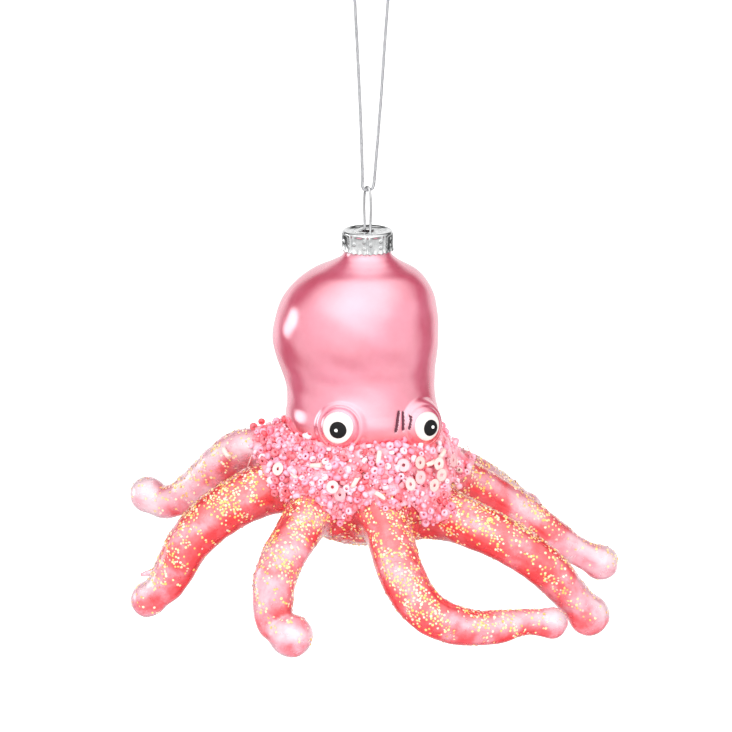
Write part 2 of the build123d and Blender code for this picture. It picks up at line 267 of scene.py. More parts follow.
def piece_from(name, points, faces, material, smooth=True):
    """A linked object at the origin with this mesh and material."""
    mesh = bpy.data.meshes.new(name)
    mesh.from_pydata([tuple(point) for point in points], [], faces)
    mesh.materials.append(material)
    mesh.polygons.foreach_set("use_smooth", [smooth] * len(mesh.polygons))
    mesh.update()
    piece = bpy.data.objects.new(name, mesh)
    scene.collection.objects.link(piece)
    return piece


def clouded(name, scale, detail, tones, rough=None, relief=None, stretch=None, **sockets):
    """A material clouded by fine noise: its tone and, where given, its roughness and relief."""
    material, tree, shader = new_material(name)
    finish_shader(shader, **sockets)
    place = tree.nodes.new("ShaderNodeTexCoord").outputs["Object"]
    if stretch:
        drawn = tree.nodes.new("ShaderNodeMapping")
        finish_shader(drawn, Scale=stretch)
        tree.links.new(place, drawn.inputs["Vector"])
        place = drawn.outputs["Vector"]
    noise = tree.nodes.new("ShaderNodeTexNoise")
    finish_shader(noise, Scale=scale, Detail=detail)
    tree.links.new(place, noise.inputs["Vector"])
    ramp = tree.nodes.new("ShaderNodeValToRGB")
    set_stops(ramp, tones)
    tree.links.new(noise.outputs["Fac"], ramp.inputs["Fac"])
    tree.links.new(ramp.outputs["Color"], shader.inputs["Base Color"])
    if rough:
        gloss = tree.nodes.new("ShaderNodeMapRange")
        finish_shader(gloss, To_Min=rough[0], To_Max=rough[1])
        tree.links.new(noise.outputs["Fac"], gloss.inputs["Value"])
        tree.links.new(gloss.outputs["Result"], shader.inputs["Roughness"])
    if relief:
        bump = tree.nodes.new("ShaderNodeBump")
        finish_shader(bump, Strength=relief[0], Distance=relief[1])
        tree.links.new(noise.outputs["Fac"], bump.inputs["Height"])
        tree.links.new(bump.outputs["Normal"], shader.inputs["Normal"])
    return material


silver_yarn = clouded("silver_yarn", 5200, 2, [(0.36, (0.27, 0.27, 0.29)), (0.62, (0.86, 0.87, 0.89))],
                      relief=(0.5, 0.00005), Metallic=0.75, Roughness=0.38)
cord_line = spline_line("cord_route", [cord_across * s * mm + Vector((0, 0, z * mm))
                                       for s, z in cord_route])
points, faces = braid(cord_line, cord_normal)
cord_loop = piece_from("cord_loop_braided", points, faces, silver_yarn)
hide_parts("cord_loop")
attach(cord_loop, "cord")

# An overhand knot: two wraps round both ends, and two tails that stand up and aside.
knot_middle = cord_across * 5.3 * mm + Vector((0, 0, -9 * mm))
knot_radius, knot_height, knot_steps, knot_turns = 0.78 * mm, 1.85 * mm, 72, 2.5
tail_reach = 5.4 * mm
knot_line = []
for step in range(knot_steps + 1):
    angle = radians(step * 360 * knot_turns / knot_steps)
    knot_line.append(knot_middle + (cord_across * cos(angle) + cord_normal * sin(angle)) * knot_radius
                     + Vector((0, 0, (step / knot_steps - 0.5) * knot_height)))
points, faces = braid(knot_line, (0, 0, 1))
points = [points]
for turn in (25, 60):
    tail_way = (cord_across * cos(radians(turn)) + Vector((0, 0, sin(radians(turn))))).normalized()
    tail_line = [knot_middle + tail_way * tail_reach * step / 4 for step in range(5)]
    tail_points, tail_faces = braid(tail_line, cord_normal)
    first = sum(len(group) for group in points)
    faces += [tuple(first + corner for corner in face) for face in tail_faces]
    points.append(tail_points)
cord_knot = piece_from("cord_knot_tied", np.concatenate(points), faces, silver_yarn)
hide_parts("cord_knot")
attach(cord_knot, "cord")

# ---- hanger wire ----------------------------------------------------------------------------
# One length of bright spring wire, bent double: an eye above the cap and two legs that go
# through the cap's hole and spring apart inside the glass neck.
wire_radius = 0.3 * mm
wire_across = Vector((cos(radians(-80)), sin(radians(-80)), 0))
half_wire = [(1.35, -61.2), (1.75, -66), (1.44, -70.5), (1.36, -73.5), (3.55, -90.7), (2.65, -93.7)]
wire_route = [(-w, z) for w, z in reversed(half_wire)] + half_wire

bright_wire = clouded("bright_wire", 9000, 3, [(0.0, (0.48, 0.48, 0.49)), (1.0, (0.82, 0.82, 0.83))],
                      rough=(0.18, 0.42), stretch=(1, 1, 0.08), Metallic=1.0)
wire_line = spline_line("wire_route", [wire_across * w * mm + Vector((0, 0, z * mm))
                                       for w, z in wire_route])
_, wire_line = evenly(wire_line, 0.25 * mm)
_, side, up = frames_along(wire_line, wire_across.cross(Vector((0, 0, 1))))
ring, wire_sides = [], 14
for corner in range(wire_sides):
    a = 2 * pi * corner / wire_sides
    ring.append(wire_line + (side * cos(a) + up * sin(a)) * wire_radius)
hanger_wire = piece_from("hanger_wire_bent", np.stack(ring, 1).reshape(-1, 3),
                         tube_faces(len(wire_line), wire_sides, 0), bright_wire)
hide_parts("hanger_wire")
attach(hanger_wire, "hanger")

# ---- cap ------------------------------------------------------------------------------------
# A thin plated cup, pressed in one blow: a dished top with a raised rim and a plain hole, and a
# side of nine crown panels with a scroll boss at each crimp, cut to small points at its edge.
cap_low, cap_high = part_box("cap")
cap_top, cap_radius = cap_high.z, (cap_high.x - cap_low.x) / 2
cap_height = cap_high.z - cap_low.z
cap_panels, cap_columns, cap_points_each = 9, 324, 3
cap_profile = [(1.5, -0.38), (1.65, -0.22), (2.1, -0.3), (3.6, -0.42), (4.6, -0.36), (5.1, -0.12),
               (5.5, 0.0), (5.9, -0.12), (6.1, -0.5), (6.0, -0.95), (5.94, -1.6), (5.92, -2.4),
               (5.92, -3.2), (5.96, -3.9), (6.05, -4.45), (6.15, -4.95)]


def smooth_rows(rows, count, along=2):
    """Rows of numbers drawn out into a smooth run of more rows, evenly along the first few."""
    rows = np.array(rows, float)
    run = np.concatenate([[0], np.cumsum(np.linalg.norm(np.diff(rows[:, :along], axis=0), axis=1))])
    slopes = np.gradient(rows, run, axis=0)
    out = []
    for place in np.linspace(0, run[-1], count):
        i = min(int(np.searchsorted(run, place, side="right")) - 1, len(run) - 2)
        h = run[i + 1] - run[i]
        t = (place - run[i]) / h
        out.append((2 * t**3 - 3 * t**2 + 1) * rows[i] + (t**3 - 2 * t**2 + t) * h * slopes[i]
                   + (3 * t**2 - 2 * t**3) * rows[i + 1] + (t**3 - t**2) * h * slopes[i + 1])
    return np.array(out)


def grid_faces(rows, columns, first=0, flip=False):
    """Faces of a grid of rows whose columns close round."""
    faces = []
    for row in range(rows - 1):
        for column in range(columns):
            a, b = first + row * columns + column, first + row * columns + (column + 1) % columns
            face = (a, b, b + columns, a + columns)
            faces.append(face[::-1] if flip else face)
    return faces


cap_rows = smooth_rows(cap_profile, 60)
crimp_depth, boss_rise, tooth, cap_turn = 0.42, 0.13, 0.1, radians(8)
cap_bosses = [(-0.9, -1.7, 0.42), (-0.9, -3.3, 0.38), (0.85, -2.5, 0.4)]  # along a panel, drop, radius
points = []
for radius, drop in cap_rows:
    side_share = min(1, max(0, (-drop - 0.5) / 0.6)) if radius > 5.3 else 0
    edge_share = min(1, max(0, (-drop - 3.6) / 1.1))
    for column in range(cap_columns):
        turn = column / cap_columns * cap_panels
        angle = 2 * pi * column / cap_columns - cap_turn
        panel = (turn % 1 - 0.5) * 2 * pi * cap_radius / cap_panels / mm
        crimp = -crimp_depth * exp(-(panel / 0.2) ** 2) + 0.14 * exp(-((abs(panel) - 0.42) / 0.2) ** 2)
        bosses = 0.0
        for boss_side, boss_drop, boss_size in cap_bosses:
            away = sqrt((panel - boss_side) ** 2 + (drop - boss_drop) ** 2)
            bosses += boss_rise * exp(-((away - boss_size * 0.6) / (boss_size * 0.38)) ** 2)
        crown = 0.16 * cos(pi * panel / 2.15)
        out = side_share * (crimp * (1 - 0.5 * edge_share) + bosses * (1 - edge_share) + crown)
        out += tooth * edge_share * cos(2 * pi * turn * cap_points_each)
        raised = 0.192 * edge_share * abs(sin(pi * turn * cap_points_each))
        dents = 0.05 * sin(5 * angle + 3 * radius) if radius < 5 else 0
        reach = min(radius + out, cap_radius / mm + 0.15)
        down = max(drop + dents + raised, -cap_height / mm - 0.25)
        points.append((cos(angle) * reach * mm, sin(angle) * reach * mm, cap_top + down * mm))
plated = clouded("bright_plating", 900, 4, [(0.3, (0.7, 0.71, 0.72)), (0.6, (0.93, 0.94, 0.94))],
                 rough=(0.06, 0.3), relief=(0.15, 0.0001), Metallic=1.0)
cap = piece_from("cap_pressed", points, grid_faces(len(cap_rows), cap_columns, flip=True), plated)
wall = cap.modifiers.new("sheet", "SOLIDIFY")
wall.thickness, wall.offset = 0.3 * mm, -1
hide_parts("cap")
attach(cap, "cap")

# ---- head -----------------------------------------------------------------------------------
# Blown thin and lacquered metallic pink, so that it mirrors softly. Under the brow the mould
# left two stepped eye mounds and three short wrinkles, and the foot turns under, coral red
# where the lacquer stops: partly the glass's own tint, partly a painted reflection of the arms.
neck_radius, neck_lip = 5.35, -72.25
bulb_radius, bulb_height, bulb_squareness = 20.0, -98.6, 0.87
bulb_shift, base_shift = Vector((-1.8, 3.7)), Vector((-1.2, 0.4))
brow_height, glass_wall = -117.0, 0.9
# Each eye: how far round its mound stands and the eye looks, its height and its reach.
eye_places = {"left": (-35.0, -35.0, -116.6, 20.7), "right": (36.0, 16.0, -117.5, 21.9)}
socket_radius, eye_tilt = 7.2, 8.0


def level(azimuth):
    """The level direction at this many degrees round from the face."""
    return Vector((sin(radians(azimuth)), -cos(radians(azimuth)), 0))


def head_axis(height):
    """The middle of the head at a height: it leans from the neck to the bulb and back."""
    if height > bulb_height:
        share = min(1, max(0, (bulb_height + bulb_radius - height) / bulb_radius))
        return bulb_shift * sin(radians(90 * share))
    share = min(1, (bulb_height - height) / (bulb_height - brow_height))
    return bulb_shift + (base_shift - bulb_shift) * (1 - cos(radians(180 * share))) / 2


eye_frames = {}
for side_name, (stands, looks, eye_height, reach) in eye_places.items():
    ahead = (level(looks) + Vector((0, 0, tan(radians(eye_tilt))))).normalized()
    middle = Vector((*base_shift, eye_height)) + level(stands) * (reach - socket_radius)
    eye_frames[side_name] = (middle, ahead)

head_rows = [(5.15, -72.3), (neck_radius, -72.6), (neck_radius, -75.0), (5.45, -76.6), (6.0, -77.9),
             (7.3, -79.0)]
for angle in (24, 37, 50, 63, 76, 90):
    head_rows.append((bulb_radius * sin(radians(angle)) ** bulb_squareness,
                      bulb_height + bulb_radius * cos(radians(angle)) ** bulb_squareness))
head_rows += [(19.3, -103.2), (18.35, -106.8), (17.9, -109.8), (18.0, -113.4), (18.5, -117.0),
              (17.9, -120.6), (15.2, -123.2), (9.5, -124.6)]
coarse = smooth_rows(head_rows, 400)
run = np.concatenate([[0], np.cumsum(np.linalg.norm(np.diff(coarse, axis=0), axis=1)
                                     * np.where(coarse[1:, 1] < -107.5, 2.7, 1.0))])
head_profile = np.stack([np.interp(np.linspace(0, run[-1], 180), run, coarse[:, i]) for i in (0, 1)], 1)
azimuths = np.linspace(-180, 180, 3601)
crowding = 1 + 2.6 * sum(np.exp(-((azimuths - place[0]) / 23) ** 2) for place in eye_places.values())
crowding += 2.4 * np.exp(-((azimuths - 14) / 9) ** 2)
gathered = np.concatenate([[0], np.cumsum((crowding[1:] + crowding[:-1]) / 2)])
head_columns = 296
azimuths = np.interp(np.arange(head_columns) / head_columns * gathered[-1], gathered, azimuths)


def socket_relief(off_axis, strength):
    """How far a socket's stepped rings stand off its ball, by distance from the eye's axis."""
    groove = -0.42 * exp(-((off_axis - 4.95) / 0.24) ** 2)
    step = 0.22 / (1 + exp((off_axis - 4.75) / 0.12))
    rim = 0.12 * exp(-((off_axis - 5.9) / 0.5) ** 2)
    return (groove + step + rim) * strength


def soft_max(a, b, blend):
    """The larger of two, rounded where they cross."""
    share = max(blend - abs(a - b), 0) / blend
    return max(a, b) + share * share * blend / 4


# Each wrinkle: azimuth and height of its top and its foot, and its width.
wrinkle_sink, crease_dark_from = 0.3, 0.42
wrinkles = [((12.0, -112.9), (7.6, -117.2), 0.42), ((15.6, -113.2), (13.6, -117.0), 0.32),
            ((19.8, -114.0), (17.4, -116.8), 0.2)]


def wrinkle_depth(azimuth, height):
    """How deep in a wrinkle this place on the brow is, from 0 to 1."""
    depth = 0.0
    for (top_turn, top), (foot_turn, foot), width in wrinkles:
        share = (top - height) / (top - foot)
        if -0.3 < share < 1.3:
            inside = min(1, max(0, share))
            aside = radians(azimuth - top_turn - (foot_turn - top_turn) * inside) * 18.5
            ends = max(0, share - 1, -share) * (top - foot)
            depth = max(depth, exp(-(aside / width) ** 2 - (ends / 0.35) ** 2))
    return depth


points, creases = [], []
for radius, height in head_profile:
    middle = Vector((*head_axis(height), height))
    for azimuth in azimuths:
        out = level(azimuth)
        reach = radius
        if height < -76:
            lean = radians(azimuth)
            calm = min(1, (-76 - height) / 8) * min(1, max(0, (height + 124) / 6))
            reach += calm * (0.10 * sin(2 * lean + 0.31 * height)
                             + 0.06 * sin(5 * lean - 0.42 * height)
                             + 0.035 * sin(9 * lean + 0.9 * height))
        for side_name, (socket_middle, ahead) in eye_frames.items():
            apart = middle - socket_middle
            along = -apart.dot(out)
            ball = socket_radius
            for _ in range(3):
                room_left = along**2 - apart.length_squared + ball**2
                if room_left <= 0 or abs(height - socket_middle.z) > socket_radius:
                    break
                hit = middle + out * (along + sqrt(room_left))
                off_axis = (hit - socket_middle).cross(ahead).length
                ball = socket_radius
                if (hit - socket_middle).dot(ahead) > 0:
                    ball += socket_relief(off_axis, 1.0 if side_name == "left" else 0.4)
            else:
                reach = soft_max(reach, along + sqrt(max(room_left, 0)), 0.9)
        # the wrinkles sink into the brow and are dark plum inside their grooves
        crease = wrinkle_depth(azimuth, height)
        reach -= wrinkle_sink * crease
        points.append((middle + out * reach) * mm)
        creases.append(crease)
head_outer_rows, bore_rows = len(head_profile), 26
for share in np.linspace(0, 1, bore_rows):
    # the bore, down inside the neck and out along the bulb's inner wall
    radius, height = head_profile[int(share * 150)]
    middle = Vector((*head_axis(height), height))
    inner = max(radius - glass_wall, 4.45) if height < -76 else neck_radius - glass_wall
    height = min(height, neck_lip - 0.1)
    for azimuth in azimuths:
        points.append((Vector((middle.x, middle.y, height)) + level(azimuth) * inner) * mm)
        creases.append(0.0)
faces = grid_faces(head_outer_rows, head_columns, flip=True)
bore = head_outer_rows * head_columns
faces += grid_faces(bore_rows, head_columns, first=bore)
for column in range(head_columns):
    after = (column + 1) % head_columns
    faces.append((column, after, bore + after, bore + column))
faces.append(tuple((head_outer_rows - 1) * head_columns + c for c in reversed(range(head_columns))))
faces.append(tuple(bore + (bore_rows - 1) * head_columns + c for c in range(head_columns)))

pink_lacquer, tree, shader = new_material("pink_lacquer")
finish_shader(shader, IOR=4.6, Specular_Tint=(1.0, 0.85, 0.91, 1), Coat_Weight=0.8,
              Coat_Roughness=0.03, Coat_IOR=1.5)
place = tree.nodes.new("ShaderNodeTexCoord")
parts = tree.nodes.new("ShaderNodeSeparateXYZ")
foot = tree.nodes.new("ShaderNodeMapRange")
finish_shader(foot, From_Min=-0.1155, From_Max=-0.1200)
foot.interpolation_type = "SMOOTHSTEP"
cloud = tree.nodes.new("ShaderNodeTexNoise")
finish_shader(cloud, Scale=95, Detail=3)
pinks = tree.nodes.new("ShaderNodeValToRGB")
set_stops(pinks, [(0.35, (0.62, 0.075, 0.14)), (0.7, (0.72, 0.14, 0.23))])
# the foot's coral red: partly the glass's tint where the lacquer stops, partly a painted reflection of
# the coral arms
coral_foot_and_reflection = tree.nodes.new("ShaderNodeMix")
coral_foot_and_reflection.data_type = "RGBA"
coral_foot_and_reflection.inputs["B"].default_value = (0.86, 0.07, 0.09, 1)
crease = tree.nodes.new("ShaderNodeAttribute")
crease.attribute_name = "crease_darkening"
crease_darkened = tree.nodes.new("ShaderNodeMix")
crease_darkened.data_type = "RGBA"
crease_darkened.inputs["B"].default_value = (0.10, 0.012, 0.035, 1)
satin = tree.nodes.new("ShaderNodeTexNoise")
finish_shader(satin, Scale=420, Detail=4)
rough = tree.nodes.new("ShaderNodeMapRange")
finish_shader(rough, To_Min=0.15, To_Max=0.26)
tree.links.new(place.outputs["Object"], parts.inputs["Vector"])
tree.links.new(place.outputs["Object"], cloud.inputs["Vector"])
tree.links.new(place.outputs["Object"], satin.inputs["Vector"])
tree.links.new(parts.outputs["Z"], foot.inputs["Value"])
tree.links.new(cloud.outputs["Fac"], pinks.inputs["Fac"])
tree.links.new(foot.outputs["Result"], coral_foot_and_reflection.inputs["Factor"])
tree.links.new(pinks.outputs["Color"], coral_foot_and_reflection.inputs["A"])
tree.links.new(coral_foot_and_reflection.outputs["Result"], crease_darkened.inputs["A"])
tree.links.new(crease.outputs["Fac"], crease_darkened.inputs["Factor"])
tree.links.new(crease_darkened.outputs["Result"], shader.inputs["Base Color"])
tree.links.new(satin.outputs["Fac"], rough.inputs["Value"])
tree.links.new(rough.outputs["Result"], shader.inputs["Roughness"])

# dark plum inside the wrinkles' grooves
crease_plum, tree, shader = new_material("crease_plum")
finish_shader(shader, Base_Color=(0.09, 0.012, 0.03, 1), Roughness=0.45)
head = piece_from("head_lacquered", points, faces, pink_lacquer)
head.data.materials.append(crease_plum)
creases = np.array(creases)
head.data.polygons.foreach_set("material_index",
                               [int(creases[list(face)].mean() > crease_dark_from) for face in faces])
ink_values = head.data.attributes.new("crease_darkening", "FLOAT", "POINT")
ink_values.data.foreach_set("value", creases)
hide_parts("head_shell")
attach(head, "glass")

# ---- eyes -----------------------------------------------------------------------------------
# Three coats of thick enamel on each mound, brushed on one after another: a cream white dome,
# a black pupil and a small white dot, each with a soft rounded edge that isn't quite round.
paint = 0.25
# Each coat: its order, colour, and for each side its radius and its middle on the mound.
eye_coats = {
    "white": (0, (0.74, 0.685, 0.655), {"left": (3.85, 0, 0), "right": (3.45, 0, 0)}),
    "pupil": (1, (0.012, 0.011, 0.012), {"left": (2.08, 0.32, -0.5), "right": (2.0, 0.41, -0.44)}),
    "glint": (2, (0.95, 0.95, 0.93), {"left": (0.42, 0.0, -0.55), "right": (0.42, 0.75, -0.27)}),
}
dome_rings, dome_corners, dome_lift, dome_depth = 12, 56, 0.2, 0.5
for coat, (order, colour, places) in eye_coats.items():
    thin = tuple(0.86 * part for part in colour)
    enamel = clouded(f"{coat}_enamel", 700, 2, [(0.3, thin), (1.0, colour)], relief=(0.15, 0.0001),
                     Roughness=0.3, Specular_IOR_Level=0.12)
    for side_name, (middle, ahead) in eye_frames.items():
        radius, aside, up = places[side_name]
        across = Vector((0, 0, 1)).cross(ahead).normalized()
        over = ahead.cross(across)
        under = socket_radius + order * paint + dome_lift
        points, faces = [], []
        for layer in (1, 0):
            for ring in range(1, dome_rings + 1):
                share = ring / dome_rings
                for corner in range(dome_corners):
                    angle = 2 * pi * corner / dome_corners
                    wobble = 1 + 0.018 * sin(2 * angle + order) + 0.012 * sin(3 * angle + 2 * order)
                    off = radius * wobble * share
                    rise = paint * sqrt(max(0, 1 - share**5)) if layer else -dome_depth
                    x, y = aside + cos(angle) * off, up + sin(angle) * off
                    out = ahead * sqrt((under + rise)**2 - x * x - y * y)
                    points.append((middle + across * x + over * y + out) * mm)
        lower = dome_rings * dome_corners
        faces += grid_faces(dome_rings, dome_corners)
        faces += grid_faces(dome_rings, dome_corners, first=lower, flip=True)
        for c in range(dome_corners):
            a, b = lower - dome_corners + c, lower - dome_corners + (c + 1) % dome_corners
            faces.append((a, b, b + lower, a + lower))
        faces.append(tuple(range(dome_corners)))
        faces.append(tuple(lower + c for c in reversed(range(dome_corners))))
        name = f"eye_{coat}_{side_name}"
        dome = piece_from(f"{name}_painted", points, faces, enamel)
        mended = bmesh.new()
        mended.from_mesh(dome.data)
        bmesh.ops.recalc_face_normals(mended, faces=mended.faces)
        mended.to_mesh(dome.data)
        mended.free()
        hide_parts(name)
        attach(dome, "glass")

# ---- glass body -----------------------------------------------------------------------------
# One piece of clear coral glass: a bowl under the head, and eight arms drawn out of it while it
# was hot, so that each runs into the bowl and its neighbours in a soft web and ends in a ball.
hub_radius, hub_height, hub_bottom, hub_base_radius = 21.6, -132.1, -149.0, 22.9
hub_rim, arms_height = -118.5, -134.0
foot = Vector((*base_shift, 0))
# Each arm: heading round from the face and how pale it is, then points along its middle, as
# (out from the hub, sideways, above the arms' height, radius). The last is the tip's ball.
arms = {
    "arm_front": (0, 0.22, [
        (-8.3, -1.3, 2.5, 5.4), (-3.6, -1.4, -0.6, 5.6), (2.3, -1.2, -6.1, 5.6),
        (6.6, -0.9, -11.3, 5.5), (11.1, 0.0, -16.0, 5.4), (14.0, 2.1, -20.5, 5.2),
        (16.0, 5.4, -24.0, 5.0), (16.6, 10.3, -26.4, 4.7), (16.4, 16.4, -27.9, 4.3),
        (16.2, 22.5, -28.1, 3.9), (15.3, 28.9, -27.8, 3.2), (14.3, 36.0, -28.9, 3.8)]),
    "arm_front_right": (45, 0.15, [
        (-7.7, -0.8, -2.0, 6.0), (2.3, -0.2, -5.4, 6.0), (9.6, 0.1, -7.6, 5.6),
        (16.3, 1.3, -10.4, 5.3), (21.6, 4.0, -14.3, 5.1), (25.9, 7.3, -19.0, 4.9),
        (28.8, 10.0, -23.9, 4.4), (32.3, 14.3, -30.0, 5.0)]),
    "arm_right": (88, 0.3, [
        (-4.5, 0.3, 3.7, 4.8), (1.8, 0.6, 0.5, 4.6), (8.1, 0.9, -3.5, 4.5),
        (14.5, 1.1, -7.7, 4.4), (20.5, 0.4, -12.1, 4.3), (25.9, -0.1, -16.4, 4.1),
        (31.6, -0.4, -20.6, 3.5), (38.2, -1.4, -24.2, 4.3)]),
    "arm_back_right": (135, 0.5, [
        (-3.6, 0.0, 3.4, 4.8), (4.4, -2.4, 1.2, 4.7), (13.9, -5.6, -2.8, 4.5),
        (21.6, -9.8, -7.5, 4.3), (28.8, -12.8, -12.7, 4.0), (34.2, -16.5, -17.9, 4.0)]),
    "arm_back_left": (200, 0.4, [
        (-3.6, 0.1, -0.5, 4.6), (5.6, 3.9, -6.2, 4.6), (13.2, 8.6, -11.2, 4.5),
        (19.2, 13.1, -16.6, 4.3), (24.4, 16.6, -22.8, 4.0), (28.4, 19.6, -28.4, 3.5)]),
    "arm_left_back": (243, 0.52, [
        (-4.5, -0.2, 6.5, 5.0), (2.7, 0.6, 7.6, 4.8), (8.3, -0.3, 6.7, 4.7),
        (12.8, -1.6, 3.2, 4.6), (17.2, -3.0, -1.3, 4.5), (21.0, -4.4, -5.0, 4.3),
        (24.9, -5.8, -7.9, 4.1), (28.8, -7.2, -9.0, 3.9), (32.4, -8.7, -7.6, 4.4)]),
    "arm_left": (280, 0.15, [
        (-5.4, -2.8, 2.9, 6.2), (1.3, -4.0, 0.6, 6.2), (7.6, -5.2, -1.7, 6.1),
        (13.4, -6.2, -4.7, 5.8), (18.4, -7.7, -8.9, 5.5), (21.5, -9.3, -13.3, 5.2),
        (23.1, -11.2, -18.0, 4.9), (24.6, -13.7, -22.9, 4.4), (27.7, -17.1, -27.2, 4.2)]),
    "arm_front_left": (318, 0.3, [
        (-7.0, -3.1, 2.3, 5.6), (-2.5, -3.6, -0.9, 5.6), (2.8, -4.2, -4.4, 5.5),
        (9.1, -4.8, -8.4, 5.3), (13.8, -5.6, -12.3, 5.2), (16.3, -6.1, -16.8, 5.1),
        (17.4, -5.9, -21.2, 4.8), (17.6, -6.0, -25.6, 4.0), (18.2, -0.8, -28.5, 5.2)]),
}
drawn_tail, drawn_tail_radius = (33.0, 26.0, -30.6), 1.7
voxel = 0.55


def arm_point(heading, reach, aside, rise):
    """A point of an arm, in millimetres in the frame."""
    sideways = Vector((cos(radians(heading)), sin(radians(heading)), 0))
    place = foot + level(heading) * (hub_radius + reach) + sideways * aside
    return place + Vector((0, 0, arms_height + rise))


arm_lines = {}
for name, (heading, _, rows) in arms.items():
    rows = [(*arm_point(heading, *row[:3]), row[3]) for row in rows]
    rows[-1] = (*rows[-1][:3], 0.85 * rows[-1][3])
    arm_lines[name] = smooth_rows(rows, 11 * len(rows), along=3)

grid_margin = 9
grid_low = np.array([min(line[:, i].min() for line in arm_lines.values())
                     for i in range(3)]) - grid_margin
grid_high = np.array([max(line[:, i].max() for line in arm_lines.values())
                      for i in range(3)]) + grid_margin
grid_high[2] = max(grid_high[2], hub_rim + 3)
counts = np.ceil((grid_high - grid_low) / voxel).astype(int)
axes = [grid_low[i] + voxel * np.arange(counts[i]) for i in range(3)]
grid_x, grid_y, grid_z = np.meshgrid(*axes, indexing="ij", sparse=True)


def soft_min_field(a, b, blend):
    """The smaller of two distance fields, rounded where they cross."""
    share = np.maximum(blend - np.abs(a - b), 0) / blend
    return np.minimum(a, b) - share * share * blend / 4


def add_limb(field, line):
    """Brings a field of distances down to a limb's, along a line of points with radii."""
    for start, end in zip(line, line[1:]):
        pad = max(start[3], end[3]) + 4
        low = np.maximum((np.minimum(start[:3], end[:3]) - pad - grid_low) / voxel, 0).astype(int)
        high = np.minimum((np.maximum(start[:3], end[:3]) + pad - grid_low) / voxel + 1,
                          counts).astype(int)
        cut = tuple(slice(a, b) for a, b in zip(low, high))
        offsets = [axes[i][cut[i]] - start[i] for i in range(3)]
        span = end[:3] - start[:3]
        x, y, z = np.meshgrid(*offsets, indexing="ij", sparse=True)
        share = np.clip((x * span[0] + y * span[1] + z * span[2]) / max(span @ span, 1e-9), 0, 1)
        away = np.sqrt((x - share * span[0]) ** 2 + (y - share * span[1]) ** 2
                       + (z - share * span[2]) ** 2)
        field[cut] = np.minimum(field[cut], away - start[3] - share * (end[3] - start[3]))


out_from_foot = np.sqrt((grid_x - foot.x) ** 2 + (grid_y - foot.y) ** 2)
side_ball = np.sqrt(out_from_foot**2 + (grid_z - hub_height) ** 2) - hub_radius
base_ball = np.sqrt(out_from_foot**2 + (grid_z - hub_bottom - hub_base_radius) ** 2) - hub_base_radius
glass_field = -soft_min_field(-side_ball, -base_ball, 2.5)
# how widely arms blend with the bowl and each other: most near the bowl, and more under it
web_low = 5.2 + 5 * np.clip((-140 - grid_z) / 6, 0, 1)
web = 0.8 + np.clip((35 - out_from_foot) / 11, 0, 1) ** 2 * web_low
for name, line in arm_lines.items():
    heading, _, rows = arms[name]
    limb = np.full(tuple(counts), 99.0)
    add_limb(limb, line)
    ball = np.full(tuple(counts), 99.0)
    tip = np.array([*line[-1][:3], rows[-1][3]])
    add_limb(ball, [tip, tip + [0, 0, 0.01, 0]])
    limb = soft_min_field(limb, ball, 1.0)
    if name == "arm_back_left":
        wisp = np.array([*arm_point(heading, *drawn_tail), 0.35])
        tail = np.full(tuple(counts), 99.0)
        add_limb(tail, [np.array([*tip[:3], drawn_tail_radius]), wisp])
        limb = soft_min_field(limb, tail, 1.0)
    glass_field = soft_min_field(glass_field, limb, web)
ripple = (np.sin(0.55 * grid_x + 0.4 * grid_z) * np.sin(0.6 * grid_y - 0.5 * grid_z + 1)
          + 0.6 * np.sin(1.3 * grid_x + 0.8 * grid_y) * np.sin(1.2 * grid_z + 0.7 * grid_y))
glass_field = np.maximum(glass_field + 0.11 * ripple, grid_z - hub_rim)


def skin_of(field, depth):
    """Points and faces of the surface at this depth in a distance field."""
    volume = openvdb.FloatGrid(3.0)
    volume.copyFromArray(np.clip(field, -3, 3).astype(np.float32))
    found, quads = volume.convertToQuads(depth)
    found = found * voxel + grid_low
    a, b, c = (found[quads[:, i]] for i in range(3))
    inward = np.einsum("ij,ij->", np.cross(b - a, c - a), (a + b + c) / 3 - found.mean(0)) < 0
    return found, (quads[:, ::-1] if inward else quads)


outer_skin, outer_faces = skin_of(glass_field, 0.0)
inner_skin, inner_faces = skin_of(glass_field, -glass_wall)
samples = np.concatenate([line[:, :3] for line in arm_lines.values()])
along_arm = np.concatenate([np.linspace(0, 1, len(line)) for line in arm_lines.values()])
arm_pale = np.concatenate([np.full(len(line), arms[name][1]) for name, line in arm_lines.items()])
skin = np.concatenate([outer_skin, inner_skin])
nearest = np.concatenate([np.argmin(((chunk[:, None] - samples) ** 2).sum(2), 1)
                          for chunk in np.array_split(skin, 60)])
tipward = np.clip((along_arm[nearest] - 0.72) / 0.28, 0, 1)
from_axis = np.hypot(skin[:, 0] - foot.x, skin[:, 1] - foot.y)
above_middle = (skin[:, 2] - samples[nearest, 2]) / 5.0
# paler towards the tips, and deep coral on the bowl; the pale streak along each arm's upper flank is a
# painted highlight
paleness_with_painted_highlight = np.clip(arm_pale[nearest] + 0.45 * tipward**1.5, 0, 1)
paleness_with_painted_highlight -= 0.5 * np.clip((25 - from_axis) / 8, 0, 1)
# painted highlight: a pale band along each arm's upper flank, where the soft light's sheen falls
painted_highlight_streak = np.exp(-((above_middle - 0.35) / 0.3) ** 2)
paleness_with_painted_highlight += 0.34 * painted_highlight_streak * np.clip((from_axis - 22) / 6, 0, 1)

coral_glass, tree, shader = new_material("coral_glass")
finish_shader(shader, IOR=1.45, Transmission_Weight=0.5, Coat_Weight=1.0, Coat_Roughness=0.16,
              Coat_IOR=1.9)
place = tree.nodes.new("ShaderNodeTexCoord")
